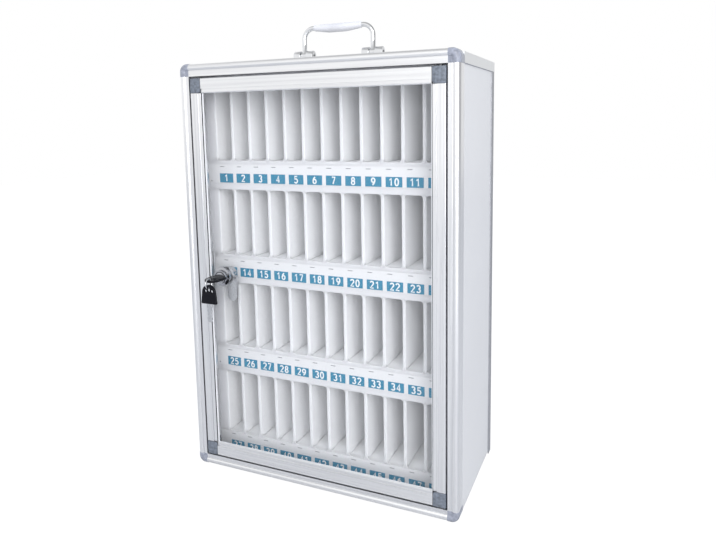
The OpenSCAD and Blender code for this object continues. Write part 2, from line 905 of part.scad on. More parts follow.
// A channel seal round the pane's edge that shows a little beyond the lips
module pane_seal() {
    front = front_y + channel_front;
    back = front_y + channel_back;
    color("dimgray") difference() {
        door_window(door_body, door_body, front, back);
        span([pane_left, pane_y, pane_low], [pane_right, pane_y + pane_t, pane_high]);
        door_window(stile_face + seal_show, door_rail_face + seal_show, front - 1, pane_y + 1);
        door_window(back_reach + seal_show, back_reach + seal_show, pane_y + 1, back + 1);
    }
}

module lock_barrel() {
    color("silver") difference() {
        union() {
            rod_y(flange_d, lock_x, lock_z, flange_y, pane_y);
            rod_y(nose_d, lock_x, lock_z, nose_y, flange_y);
            rod_y(barrel_d, lock_x, lock_z, pane_y, barrel_end);
        }
        rod_y(plug_d + 2 * plug_fit, lock_x, lock_z, nose_y - 1, barrel_end + 1);
    }
}

module lock_nut() {
    color("darkgray") difference() {
        translate([lock_x, pane_y + pane_t, lock_z]) rotate([-90, 0, 0])
            cylinder(d = nut_af / cos(30), h = nut_t, $fn = 6);
        rod_y(barrel_d + 2 * barrel_fit, lock_x, lock_z, pane_y, barrel_end);
    }
}

module lock_plug() {
    color("lightgray") difference() {
        union() {
            rod_y(plug_d, lock_x, lock_z, nose_y, plug_end);
            span([lock_x - tail_side / 2, plug_end, lock_z - tail_side / 2],
                 [lock_x + tail_side / 2, cam_back, lock_z + tail_side / 2]);
        }
        span([lock_x - blade_w / 2 - key_fit, nose_y - 1, lock_z - blade_t / 2 - key_fit],
             [lock_x + blade_w / 2 + key_fit, nose_y + keyway_l - head_gap,
              lock_z + blade_t / 2 + key_fit]);
        rod_y(cam_screw_shank, lock_x, lock_z, cam_y, cam_back + 1);
    }
}

// The cam hangs down when the door is free and turns to the left to lock it
module lock_cam() {
    tip_r = cam_w / 2;
    color("darkgray") translate([0, cam_back, 0]) rotate([90, 0, 0]) linear_extrude(cam_t)
        translate([lock_x, lock_z]) difference() {
            union() {
                circle(r = tip_r);
                translate([0, -cam_reach + tip_r]) circle(r = tip_r);
                translate([-tip_r, tip_r - cam_reach]) square([cam_w, cam_reach - tip_r]);
            }
            square(tail_side + 2 * tail_fit, center = true);
        }
}

module cam_screw() {
    color("silver") {
        rod_y(cam_screw_d, lock_x, lock_z, cam_back, cam_back + cam_screw_h);
        rod_y(cam_screw_shank, lock_x, lock_z, cam_y, cam_back);
    }
}

// A key lies flat: its head runs from the shoulder at the origin along Y and its
// blade the other way. Its eye is a slot across the head, near the far end.
module key_head_outline() {
    top_r = head_w / 2 - head_flare;
    eye_end = head_l - web;
    difference() {
        union() {
            translate([0, head_l - top_r]) circle(r = top_r);
            polygon([[-head_w / 2, 0], [head_w / 2, 0],
                     [top_r, head_l - top_r], [-top_r, head_l - top_r]]);
        }
        for (side = [-1, 1]) translate([side * (eye_w - eye_l) / 2, eye_end - eye_l / 2])
            circle(d = eye_l);
        translate([-(eye_w - eye_l) / 2, eye_end - eye_l]) square([eye_w - eye_l, eye_l]);
    }
}

module key_blade_outline() {
    half = blade_w / 2;
    difference() {
        polygon([[-half, 0], [half, 0], [half, blade_tip - blade_l],
                 [half - blade_tip, -blade_l], [blade_tip - half, -blade_l],
                 [-half, blade_tip - blade_l]]);
        for (n = [1:cuts], side = [-1, 1]) translate([side * half, -n * cut_step])
            rotate(45) square(cut_side, center = true);
    }
}

// The head is moulded onto the blade, so the two are one piece
module whole_key() {
    translate([0, 0, -head_t / 2]) linear_extrude(head_t) key_head_outline();
    translate([0, 0, -blade_t / 2]) linear_extrude(blade_t) key_blade_outline();
}

module key() {
    color("black") translate([lock_x, key_y, lock_z]) rotate([180, 0, 0]) whole_key();
}

module key_ring() {
    color("silver") translate([lock_x, ring_y, ring_z]) rotate([0, 90, 0])
        rotate_extrude() translate([ring_r + wire_d / 2, 0]) circle(d = wire_d, $fn = 24);
}

module spare_key() {
    color("black") translate([lock_x, ring_y, hang_z - head_l + web]) rotate([90, 0, 0])
        whole_key();
}

// A bracket with two rounded ears on each side of the bail's eye
module bracket(side) {
    x = side * leg_span / 2;
    difference() {
        union() {
            span([x - bracket_w / 2, -bracket_d / 2, cover_top],
                 [x + bracket_w / 2, bracket_d / 2, cover_top + foot_t]);
            rod_x(2 * ear_r, x - bracket_w / 2, x + bracket_w / 2, 0, pivot_z);
            span([x - bracket_w / 2, -ear_r, cover_top],
                 [x + bracket_w / 2, ear_r, pivot_z]);
        }
        span([x - ear_gap / 2, -bracket_d, cover_top + foot_t],
             [x + ear_gap / 2, bracket_d, pivot_z + 2 * ear_r]);
        rod_x(handle_pin_d, x - bracket_w, x + bracket_w, 0, pivot_z);
        bracket_screw_places() cylinder(d = bracket_screw_d, h = bracket_screw_l);
    }
}

module bracket_left() {
    color("silver") bracket(-1);
}

module bracket_right() {
    color("silver") bracket(1);
}

// Two screws come up through the cover into each bracket's foot
module bracket_screw_places() {
    for (side = [-1, 1], end = [-1, 1])
        translate([side * leg_span / 2 + end * (bracket_w + ear_gap) / 4, 0, cover_under])
            children();
}

module bracket_screws() {
    color("darkgray") bracket_screw_places() {
        cylinder(d = bracket_screw_d, h = bracket_screw_l);
        translate([0, 0, -bracket_head_h]) cylinder(d = bracket_head_d, h = bracket_head_h);
    }
}

module handle_pins() {
    color("silver") for (side = [-1, 1])
        rod_x(handle_pin_d, side * leg_span / 2 - bracket_w / 2,
              side * leg_span / 2 + bracket_w / 2, 0, pivot_z);
}

// Half of the bail: an eye, a leg, a bend and half of the top bar
module half_bail() {
    x = leg_span / 2;
    difference() {
        union() {
            rod_x(boss_d, x - boss_w / 2, x + boss_w / 2, 0, pivot_z);
            translate([x, 0, pivot_z]) cylinder(d = rod_d, h = leg_top - bend_r - pivot_z);
            translate([x - bend_r, 0, leg_top - bend_r]) rotate([90, 0, 0])
                rotate_extrude(angle = 90) translate([bend_r, 0]) circle(d = rod_d);
            rod_x(rod_d, 0, x - bend_r, 0, leg_top);
        }
        rod_x(handle_pin_d + 2 * handle_fit, x - boss_w, x + boss_w, 0, pivot_z);
    }
}

module handle_bail() {
    color("silver") {
        half_bail();
        mirror([1, 0, 0]) half_bail();
    }
}

// The grip is fuller in its middle, and its belly hangs below the rod
module handle_grip() {
    end_x = grip_l / 2 - grip_round;
    belly_x = grip_l / 6;
    belly_drop = (grip_h - grip_end_h) / 2;
    color("whitesmoke") difference() {
        hull() {
            for (x = [-end_x, end_x]) translate([x, 0, leg_top])
                scale([grip_round, grip_end_w / 2, grip_end_h / 2]) sphere(r = 1, $fn = 32);
            for (x = [-belly_x, belly_x]) translate([x, 0, leg_top - belly_drop])
                scale([belly_round, grip_w / 2, grip_h / 2]) sphere(r = 1, $fn = 32);
        }
        rod_x(rod_d, -grip_l, grip_l, 0, leg_top);
    }
}

rail_top();
rail_bottom();
rail_left();
rail_right();
cap_top_left();
cap_top_right();
cap_bottom_left();
cap_bottom_right();
side_panel_left();
side_panel_right();
back_panel();
bottom_panel();
top_cover();
rear_angle_left();
rear_angle_right();
rear_screws();
shelf(1);  // shelf_row_1
shelf(2);  // shelf_row_2
shelf(3);  // shelf_row_3
shelf(4);  // shelf_row_4
ceiling_board();
dividers(1);  // dividers_row_1
dividers(2);  // dividers_row_2
dividers(3);  // dividers_row_3
dividers(4);  // dividers_row_4
strip_top();
strip_row(1);  // strip_row_1
strip_row(2);  // strip_row_2
strip_row(3);  // strip_row_3
strip_row(4);  // strip_row_4
label_cards();
number_plates();
strike_plate();
strike_rivets();
door_bumpers();
upper_bush();
lower_bush();
bracket_left();
bracket_right();
bracket_screws();
handle_pins();
door_stile_left();
door_stile_right();
door_rail_top();
door_rail_bottom();
door_corner_blocks();
door_pivot_blocks();
pivot_pins();
door_pane();
pane_seal();
lock_barrel();
lock_nut();
lock_plug();
lock_cam();
cam_screw();
key();
key_ring();
spare_key();
handle_bail();
handle_grip();
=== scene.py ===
import math

import bmesh
import bpy
from mathutils import Matrix, Vector


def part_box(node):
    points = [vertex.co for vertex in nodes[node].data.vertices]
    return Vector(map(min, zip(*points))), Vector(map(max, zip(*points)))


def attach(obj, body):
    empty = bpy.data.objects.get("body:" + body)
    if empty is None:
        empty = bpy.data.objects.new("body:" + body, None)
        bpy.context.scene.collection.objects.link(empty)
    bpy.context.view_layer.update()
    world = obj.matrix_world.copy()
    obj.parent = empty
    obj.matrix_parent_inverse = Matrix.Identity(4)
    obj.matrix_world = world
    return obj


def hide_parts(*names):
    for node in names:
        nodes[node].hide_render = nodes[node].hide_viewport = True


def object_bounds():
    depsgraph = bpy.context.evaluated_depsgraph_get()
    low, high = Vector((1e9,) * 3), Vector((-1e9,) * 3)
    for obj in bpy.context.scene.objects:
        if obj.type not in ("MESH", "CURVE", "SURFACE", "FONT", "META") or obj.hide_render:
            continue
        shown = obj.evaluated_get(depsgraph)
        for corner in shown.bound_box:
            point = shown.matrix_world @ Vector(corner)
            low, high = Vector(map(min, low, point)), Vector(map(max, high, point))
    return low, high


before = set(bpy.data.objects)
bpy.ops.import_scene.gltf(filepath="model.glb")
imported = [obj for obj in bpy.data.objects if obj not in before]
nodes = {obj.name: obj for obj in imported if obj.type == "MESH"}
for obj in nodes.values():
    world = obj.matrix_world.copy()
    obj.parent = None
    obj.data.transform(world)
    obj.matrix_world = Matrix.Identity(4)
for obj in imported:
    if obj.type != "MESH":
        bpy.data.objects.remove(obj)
cad_low, cad_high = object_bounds()
MM = 0.001
# Corners of a mesh that lie closer than this, in metres, are one corner
WELD = 0.000002

# The photograph's camera, fitted to the straight edges of the frame and the door
PHOTO_W, PHOTO_H = 716, 540
FOCAL_PX = 622.4
CENTRE_PX = (358.8, 200.1)
CAMERA_PLACE = Vector((0.3335, -0.7094, 0.4432))
CAMERA_YAW = -0.4112
CAMERA_PITCH = -0.1265
CAMERA_ROLL = -0.0170

# The studio's light, and the slants between which its ceiling and its right wall turn grey:
# 0 is level or straight ahead, 1 is straight up or straight to the right
STUDIO_TONE = (0.89, 0.93, 1.0)
CEILING_FADE = (0.6, 0.9)
WALL_FADE = (0.2, 0.65)
FLOOR_HALF = 4.0
FLOOR_GAP = 0.5 * MM

# Rows and columns of slots
ROWS = 4
COLUMNS = 12


# Small helpers for objects and node trees


def new_object(name, data):
    thing = bpy.data.objects.new(name, data)
    bpy.context.scene.collection.objects.link(thing)
    return thing


def plain_mesh(thing):
    """The mesh that an object comes out as. The object and its modifiers are removed."""
    depsgraph = bpy.context.evaluated_depsgraph_get()
    mesh = bpy.data.meshes.new_from_object(thing.evaluated_get(depsgraph))
    thing.modifiers.clear()
    bpy.data.objects.remove(thing)
    return mesh


def give(tree, socket, value):
    """Feeds a socket from another node, or sets it to a plain value."""
    if isinstance(value, bpy.types.NodeSocket):
        tree.links.new(value, socket)
    else:
        socket.default_value = value


def maths(tree, operation, first, second):
    node = tree.nodes.new("ShaderNodeMath")
    node.operation = operation
    give(tree, node.inputs[0], first)
    give(tree, node.inputs[1], second)
    return node.outputs[0]


def spread(tree, value, start, end, low=0.0, high=1.0):
    """A value carried over from the span between start and end to the one between low and high."""
    span = tree.nodes.new("ShaderNodeMapRange")
    span.inputs["From Min"].default_value = start
    span.inputs["From Max"].default_value = end
    span.inputs["To Min"].default_value = low
    span.inputs["To Max"].default_value = high
    tree.links.new(value, span.inputs["Value"])
    return span.outputs["Result"]


def mix_out(tree, factor, first, second, output):
    """Sends the mix of two shaders to the tree's output node."""
    mix = tree.nodes.new("ShaderNodeMixShader")
    tree.links.new(factor, mix.inputs[0])
    tree.links.new(first, mix.inputs[1])
    tree.links.new(second, mix.inputs[2])
    tree.links.new(mix.outputs[0], tree.nodes.new(output).inputs[0])


# Camera, lamp, studio and floor


def make_camera():
    data = bpy.data.cameras.new("photo_camera")
    camera = new_object("photo_camera", data)
    data.sensor_width = 36
    data.lens = FOCAL_PX / PHOTO_W * data.sensor_width
    data.shift_x = (PHOTO_W / 2 - CENTRE_PX[0]) / PHOTO_W
    data.shift_y = (CENTRE_PX[1] - PHOTO_H / 2) / PHOTO_W
    data.clip_start = 0.01
    data.clip_end = 50
    forward = Vector((math.sin(CAMERA_YAW) * math.cos(CAMERA_PITCH),
                      math.cos(CAMERA_YAW) * math.cos(CAMERA_PITCH),
                      math.sin(CAMERA_PITCH)))
    level = Vector((math.cos(CAMERA_YAW), -math.sin(CAMERA_YAW), 0))
    above = level.cross(forward)
    right = level * math.cos(CAMERA_ROLL) + above * math.sin(CAMERA_ROLL)
    up = above * math.cos(CAMERA_ROLL) - level * math.sin(CAMERA_ROLL)
    turn = Matrix((right, up, -forward)).transposed().to_4x4()
    camera.matrix_world = Matrix.Translation(CAMERA_PLACE) @ turn
    bpy.context.scene.camera = camera


def area_lamp(name, place, target, size, power):
    data = bpy.data.lights.new(name, "AREA")
    data.shape = "RECTANGLE"
    data.size, data.size_y = size
    data.energy = power
    lamp = new_object(name, data)
    lamp.location = place
    lamp.rotation_euler = (Vector(target) - Vector(place)).to_track_quat("-Z", "Y").to_euler()


def seen_share(tree, camera, glossy, transmission):
    """How much of a glow each kind of seen ray meets. Rays that light things meet none."""
    path = tree.nodes.new("ShaderNodeLightPath")
    total = maths(tree, "MULTIPLY", path.outputs["Is Camera Ray"], camera)
    for kind, share in (("Is Glossy Ray", glossy), ("Is Transmission Ray", transmission)):
        part = maths(tree, "MULTIPLY", path.outputs[kind], share)
        total = maths(tree, "MAXIMUM", total, part)
    return total


def make_world(level, ceiling, side):
    """A white studio. Metal shows its ceiling and its right wall greyer."""
    world = bpy.data.worlds.new("studio")
    bpy.context.scene.world = world
    world.use_nodes = True
    tree = world.node_tree
    tree.nodes.clear()
    light = tree.nodes.new("ShaderNodeBackground")
    light.inputs["Color"].default_value = (*STUDIO_TONE, 1)
    light.inputs["Strength"].default_value = level
    place = tree.nodes.new("ShaderNodeTexCoord")
    split = tree.nodes.new("ShaderNodeSeparateXYZ")
    tree.links.new(place.outputs["Generated"], split.inputs[0])
    upper = spread(tree, split.outputs["Z"], *CEILING_FADE, 1.0, ceiling)
    right = spread(tree, split.outputs["X"], *WALL_FADE, 1.0, side)
    grey = maths(tree, "MULTIPLY", upper, right)
    # The background of the picture itself stays white in every view
    path = tree.nodes.new("ShaderNodeLightPath")
    strength = maths(tree, "MAXIMUM", grey, path.outputs["Is Camera Ray"])
    backdrop = tree.nodes.new("ShaderNodeBackground")
    backdrop.inputs["Color"].default_value = (1.0, 1.0, 1.0, 1)
    tree.links.new(strength, backdrop.inputs["Strength"])
    mix_out(tree, seen_share(tree, 1, 1, 1), light.outputs[0], backdrop.outputs[0],
            "ShaderNodeOutputWorld")


def make_floor():
    """A white floor just under the box, which takes its shadow."""
    half = FLOOR_HALF
    mesh = bpy.data.meshes.new("floor")
    mesh.from_pydata([(-half, -half, 0), (half, -half, 0), (half, half, 0), (-half, half, 0)],
                     [], [(0, 1, 2, 3)])
    floor = new_object("floor", mesh)
    floor.location.z = cad_low.z - FLOOR_GAP
    material = bpy.data.materials.new("floor_white")
    material.use_nodes = True
    tree = material.node_tree
    tree.nodes.clear()
    paint = tree.nodes.new("ShaderNodeBsdfDiffuse")
    paint.inputs["Color"].default_value = (0.58, 0.58, 0.59, 1)
    glow = tree.nodes.new("ShaderNodeEmission")
    glow.inputs["Color"].default_value = (1, 1, 1, 1)
    glow.inputs["Strength"].default_value = 1.15
    share = seen_share(tree, camera=0.85, glossy=0.12, transmission=0.8)
    mix_out(tree, share, paint.outputs[0], glow.outputs[0], "ShaderNodeOutputMaterial")
    mesh.materials.append(material)


# Materials

# Nearly all of a noise lies between these two values
NOISE_LOW, NOISE_HIGH = 0.3, 0.7
# A colour Mix node's sockets, which it has no plain names for: two inputs and its result
MIX_A, MIX_B, MIX_RESULT = 6, 7, 2
# Foam's front faces are painted greyer, as painted shade, where the normal's Y lies between these,
# towards the front
FRONT_SHADE_FACING = (-0.5, -0.9)
# How solid the clear pane looks, as it is turned from nearly faced to edge on
PANE_TURN = (0.55, 1.0)
PANE_ALPHA = (0.03, 0.45)


def surface(name, colour, roughness, metallic=0.0, specular=0.5):
    """A new material with its Principled shader."""
    material = bpy.data.materials.new(name)
    material.use_nodes = True
    shader = material.node_tree.nodes["Principled BSDF"]
    shader.inputs["Base Color"].default_value = (*colour, 1)
    shader.inputs["Roughness"].default_value = roughness
    shader.inputs["Metallic"].default_value = metallic
    shader.inputs["Specular IOR Level"].default_value = specular
    return material, shader


def noise(material, scale, detail=2.0, stretch=(1, 1, 1)):
    """Noise on the piece's own coordinates in metres. Stretch is per axis."""
    tree = material.node_tree
    place = tree.nodes.new("ShaderNodeTexCoord")
    mapping = tree.nodes.new("ShaderNodeMapping")
    mapping.inputs["Scale"].default_value = stretch
    tree.links.new(place.outputs["Object"], mapping.inputs["Vector"])
    texture = tree.nodes.new("ShaderNodeTexNoise")
    texture.inputs["Scale"].default_value = scale
    texture.inputs["Detail"].default_value = detail
    tree.links.new(mapping.outputs["Vector"], texture.inputs["Vector"])
    return texture.outputs["Fac"]


def vary(material, socket, factor, low, high):
    """Drives a plain number of the shader between two values."""
    tree = material.node_tree
    tree.links.new(spread(tree, factor, NOISE_LOW, NOISE_HIGH, low, high), socket)


def tint(material, shader, factor, dark, light):
    """Drives the base colour between two tones."""
    tree = material.node_tree
    ramp = tree.nodes.new("ShaderNodeValToRGB")
    ramp.color_ramp.elements[0].position = NOISE_LOW
    ramp.color_ramp.elements[0].color = (*dark, 1)
    ramp.color_ramp.elements[1].position = NOISE_HIGH
    ramp.color_ramp.elements[1].color = (*light, 1)
    tree.links.new(factor, ramp.inputs["Fac"])
    tree.links.new(ramp.outputs["Color"], shader.inputs["Base Color"])


def raise_surface(material, shader, factor, height):
    """Adds bump of a real height in metres."""
    tree = material.node_tree
    bump = tree.nodes.new("ShaderNodeBump")
    bump.inputs["Strength"].default_value = 1.0
    bump.inputs["Distance"].default_value = height
    tree.links.new(factor, bump.inputs["Height"])
    tree.links.new(bump.outputs["Normal"], shader.inputs["Normal"])


def shifted(colour, change):
    """A colour with the change added to each part, held between black and white."""
    return tuple(min(1.0, max(0.0, part + change)) for part in colour)


def scaled(colour, change):
    """A colour made lighter or darker by a share of itself."""
    return tuple(min(1.0, part * (1 + change)) for part in colour)


def drawn_aluminium(name, along):
    """Satin anodised extrusion with draw lines along one axis."""
    stretch = tuple(0.01 if axis == along else 1 for axis in "xyz")
    material, shader = surface(name, (0.91, 0.915, 0.93), 0.32, metallic=1.0)
    lines = noise(material, 2600, 3.0, stretch)
    bands = noise(material, 420, 3.0, stretch)
    tint(material, shader, bands, (0.79, 0.795, 0.815), (0.94, 0.945, 0.955))
    vary(material, shader.inputs["Roughness"], lines, 0.26, 0.40)
    raise_surface(material, shader, lines, 0.00001)
    return material


def sheet_metal(name):
    """Rolled sheet with a fine grain along X."""
    material, shader = surface(name, (0.86, 0.87, 0.88), 0.4, metallic=0.9)
    grain = noise(material, 1800, 3.0, (0.05, 1, 1))
    tint(material, shader, grain, (0.84, 0.85, 0.86), (0.89, 0.90, 0.91))
    vary(material, shader.inputs["Roughness"], grain, 0.34, 0.48)
    raise_surface(material, shader, grain, 0.000008)
    return material


def coated_board(name, colour):
    """Off white coated board with a fine orange peel."""
    material, shader = surface(name, colour, 0.42)
    peel = noise(material, 900, 3.0)
    patches = noise(material, 9, 2.0)
    tint(material, shader, patches, shifted(colour, -0.012), shifted(colour, 0.012))
    vary(material, shader.inputs["Roughness"], peel, 0.36, 0.5)
    raise_surface(material, shader, peel, 0.00003)
    return material


def closed_foam(name, colour, cut):
    """White foam board: fine closed cells, a soft dull skin, and front faces painted greyer as
    painted shade.
    """
    material, shader = surface(name, colour, 0.8, specular=0.3)
    cells = noise(material, 1500, 4.0)
    tint(material, shader, noise(material, 380, 3.0), shifted(colour, -0.06),
         shifted(colour, 0.012))
    tree = material.node_tree
    skin = shader.inputs["Base Color"].links[0].from_socket
    place = tree.nodes.new("ShaderNodeTexCoord")
    split = tree.nodes.new("ShaderNodeSeparateXYZ")
    tree.links.new(place.outputs["Normal"], split.inputs[0])
    # Painted shade: faces towards the front take the greyer colour given as cut
    mix = tree.nodes.new("ShaderNodeMix")
    mix.data_type = "RGBA"
    tree.links.new(spread(tree, split.outputs["Y"], *FRONT_SHADE_FACING), mix.inputs["Factor"])
    tree.links.new(skin, mix.inputs[MIX_A])
    mix.inputs[MIX_B].default_value = (*cut, 1)
    tree.links.new(mix.outputs[MIX_RESULT], shader.inputs["Base Color"])
    vary(material, shader.inputs["Roughness"], cells, 0.7, 0.9)
    raise_surface(material, shader, cells, 0.00008)
    shader.inputs["Subsurface Weight"].default_value = 0.6
    shader.inputs["Subsurface Radius"].default_value = (1.0, 1.0, 1.0)
    shader.inputs["Subsurface Scale"].default_value = 0.012
    return material


def moulded_plastic(name, colour, roughness, grain_height=0.00004, mottle=0.06, patch=60,
                    specular=0.5):
    """Moulded plastic. Mottle is how far its tone strays, patch how fine that is."""
    material, shader = surface(name, colour, roughness, specular=specular)
    grain = noise(material, 1300, 3.0)
    tint(material, shader, noise(material, patch, 3.0), scaled(colour, -mottle),
         scaled(colour, mottle))
    vary(material, shader.inputs["Roughness"], grain, roughness - 0.06, roughness + 0.08)
    raise_surface(material, shader, grain, grain_height)
    return material


def plated_metal(name, colour, roughness):
    """Plated or bare steel with faint scratches."""
    material, shader = surface(name, colour, roughness, metallic=1.0)
    scratches = noise(material, 700, 4.0, (1, 1, 0.2))
    tint(material, shader, noise(material, 120, 2.0), scaled(colour, -0.03),
         scaled(colour, 0.03))
    vary(material, shader.inputs["Roughness"], scratches, roughness * 0.7, roughness * 1.5)
    raise_surface(material, shader, scratches, 0.000004)
    return material


def printed_card(name, colour, roughness=0.6):
    """Card or print with the fibres of the card in it."""
    material, shader = surface(name, colour, roughness, specular=0.4)
    fibres = noise(material, 2400, 4.0, (1, 1, 0.4))
    tint(material, shader, fibres, shifted(colour, -0.015), shifted(colour, 0.01))
    vary(material, shader.inputs["Roughness"], fibres, roughness - 0.08, roughness + 0.08)
    raise_surface(material, shader, fibres, 0.00001)
    return material


def clear_sheet(name):
    """Clear acrylic: see through when faced, more of a mirror at a low angle."""
    material, shader = surface(name, (0.93, 0.95, 0.97), 0.05)
    shader.inputs["IOR"].default_value = 1.49
    smears = noise(material, 14, 3.0)
    vary(material, shader.inputs["Roughness"], smears, 0.03, 0.10)
    tree = material.node_tree
    gloss = tree.nodes.new("ShaderNodeLayerWeight")
    gloss.inputs["Blend"].default_value = 0.5
    tree.links.new(spread(tree, gloss.outputs["Facing"], *PANE_TURN, *PANE_ALPHA),
                   shader.inputs["Alpha"])
    return material


make_camera()
make_world(level=0.98, ceiling=0.55, side=0.45)
area_lamp("key_lamp", place=(0.72, -1.15, 0.72), target=(0, 0, 0.27), size=(1.2, 1.2), power=14)
make_floor()

aluminium_up = drawn_aluminium("aluminium_upright", "z")
aluminium_across = drawn_aluminium("aluminium_across", "x")
dull_aluminium = plated_metal("dull_aluminium", (0.46, 0.47, 0.50), 0.5)
cover_metal = sheet_metal("cover_metal")
cap_plastic = moulded_plastic("cap_plastic", (0.29, 0.305, 0.36), 0.3, mottle=0.22, patch=330)
block_plastic = moulded_plastic("block_plastic", (0.155, 0.175, 0.21), 0.42,
                                grain_height=0.00006, mottle=0.38, patch=330)
panel_board = coated_board("panel_board", (0.70, 0.70, 0.71))
# The last colour is the painted shade on the foam's front faces
foam = closed_foam("white_foam", (0.965, 0.965, 0.975), (0.74, 0.74, 0.76))
card = printed_card("label_card", (0.75, 0.75, 0.76))
number_blue = printed_card("number_blue", (0.004, 0.20, 0.335), 0.4)
number_ink = printed_card("number_ink", (0.82, 0.84, 0.85), 0.5)
mark_ink = printed_card("mark_ink", (0.24, 0.24, 0.26), 0.5)
zinc = plated_metal("zinc_steel", (0.62, 0.63, 0.65), 0.28)
dark_steel = plated_metal("dark_steel", (0.16, 0.16, 0.17), 0.35)
chrome = plated_metal("chrome", (0.80, 0.81, 0.83), 0.08)
rubber = moulded_plastic("grey_rubber", (0.45, 0.46, 0.48), 0.7)
pale_rubber = moulded_plastic("pale_rubber", (0.80, 0.81, 0.83), 0.6)
# Painted reflection: the lock's chrome is darker than the handle's, standing in for the dark
# things it reflects
lock_chrome_painted_dark = plated_metal("lock_chrome_painted_dark", (0.44, 0.45, 0.48), 0.12)
# Painted light: pale strips laid over the shaded band beside the pane
painted_light_pale = moulded_plastic("painted_light_pale", (0.88, 0.885, 0.90), 0.5)
# Painted shadow: black lines laid where the door's gaps are in shade
painted_shadow_black = moulded_plastic("painted_shadow_black", (0.05, 0.052, 0.06), 0.6, specular=0.2)
# Painted shadow: the grey line under the cover's turned down edge
painted_shadow_grey = moulded_plastic("painted_shadow_grey", (0.36, 0.37, 0.40), 0.6, specular=0.2)
nylon = moulded_plastic("bush_nylon", (0.05, 0.05, 0.055), 0.4)
key_black = moulded_plastic("key_black", (0.006, 0.006, 0.009), 0.25, grain_height=0.00001,
                            specular=0.15)
acrylic = clear_sheet("clear_acrylic")
grip_white = moulded_plastic("grip_white", (0.72, 0.72, 0.76), 0.25, grain_height=0.00001)

finishes = {
    aluminium_up: ["rail_left", "rail_right", "door_stile_left", "door_stile_right"],
    dull_aluminium: ["rear_angle_left", "rear_angle_right"],
    aluminium_across: ["rail_top", "rail_bottom", "door_rail_top", "door_rail_bottom"],
    cover_metal: ["top_cover", "strike_plate"],
    cap_plastic: ["cap_top_left", "cap_top_right", "cap_bottom_left", "cap_bottom_right"],
    block_plastic: ["door_corner_blocks", "door_pivot_blocks"],
    panel_board: ["side_panel_left", "side_panel_right", "back_panel", "bottom_panel"],
    foam: ["ceiling_board", "strip_top"]
          + ["%s_row_%d" % (kind, row) for kind in ("shelf", "dividers", "strip")
             for row in range(1, ROWS + 1)],
    card: ["label_cards"],
    number_blue: ["number_plates"],
    zinc: ["strike_rivets", "rear_screws", "bracket_screws", "lock_nut", "lock_cam",
           "cam_screw"],
    dark_steel: ["pivot_pins", "handle_pins"],
    chrome: ["bracket_left", "bracket_right", "handle_bail", "lock_barrel", "lock_plug",
             "key_ring"],
    rubber: ["door_bumpers"],
    pale_rubber: ["pane_seal"],
    nylon: ["upper_bush", "lower_bush"],
    key_black: ["key", "spare_key"],
    acrylic: ["door_pane"],
    grip_white: ["handle_grip"],
}
for material, names in finishes.items():
    for name in names:
        mesh = nodes[name].data
        mesh.materials.clear()
        mesh.materials.append(material)


# Pieces

# In degrees: an edge that looks sharp, one that is eased, and one that isn't an edge at all
SHARP_ANGLE = 32
EASED_ANGLE = 40
FLAT_ANGLE = 0.6


def piece(name, mesh, material, body, replaced=()):
    """A finished piece at the origin that rides on a body."""
    mesh.materials.clear()
    mesh.materials.append(material)
    thing = new_object(name, mesh)
    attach(thing, body)
    if replaced:
        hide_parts(*replaced)


def merged(mesh):
    """A copy of a mesh to work on, with its loose triangles joined up."""
    shape = bmesh.new()
    shape.from_mesh(mesh)
    bmesh.ops.remove_doubles(shape, verts=shape.verts, dist=WELD)
    return shape


def worked(shape, name):
    """The mesh of a worked shape, which is given up."""
    mesh = bpy.data.meshes.new(name)
    shape.to_mesh(mesh)
    shape.free()
    return mesh


def solid_boxes(node):
    """The lowest and highest corner of each solid in a node, from top left to bottom right."""
    shape = merged(nodes[node].data)
    boxes = []
    left = set(shape.verts)
    while left:
        reached = [left.pop()]
        solid = []
        while reached:
            vertex = reached.pop()
            solid.append(vertex.co.copy())
            for edge in vertex.link_edges:
                other = edge.other_vert(vertex)
                if other in left:
                    left.discard(other)
                    reached.append(other)
        low = Vector([min(point[axis] for point in solid) for axis in range(3)])
        high = Vector([max(point[axis] for point in solid) for axis in range(3)])
        boxes.append((low, high))
    shape.free()
    boxes.sort(key=lambda box: (-round(box[0].z, 4), round(box[0].x, 4)))
    return boxes


def smooth(mesh, angle=SHARP_ANGLE):
    """Smooth shading, with the edges sharper than the angle kept sharp."""
    mesh.shade_smooth()
    mesh.set_sharp_from_angle(angle=math.radians(angle))


def eased(node, ease, material, body):
    """A copy of a node with its sharp edges eased, which takes the node's place."""
    shape = merged(nodes[node].data)
    bmesh.ops.dissolve_limit(shape, angle_limit=math.radians(FLAT_ANGLE), verts=shape.verts,
                             edges=shape.edges)
    sharp = [edge for edge in shape.edges if len(edge.link_faces) == 2
             and edge.calc_face_angle(0) > math.radians(EASED_ANGLE)]
    if ease:
        bmesh.ops.bevel(shape, geom=sharp, offset=ease, offset_type="OFFSET", segments=2,
                        profile=0.5, affect="EDGES", clamp_overlap=True)
    bmesh.ops.triangulate(shape, faces=[face for face in shape.faces if len(face.verts) > 4])
    mesh = worked(shape, node + "_eased")
    smooth(mesh)
    piece(node + "_eased", mesh, material, body, [node])


# Printed numbers and marks


def bow(centre, reach, start, end, steps=12):
    """Points on an oval's arc between two angles in degrees."""
    points = []
    for step in range(steps + 1):
        angle = math.radians(start + (end - start) * step / steps)
        points.append((centre[0] + reach[0] * math.cos(angle),
                       centre[1] + reach[1] * math.sin(angle)))
    return points


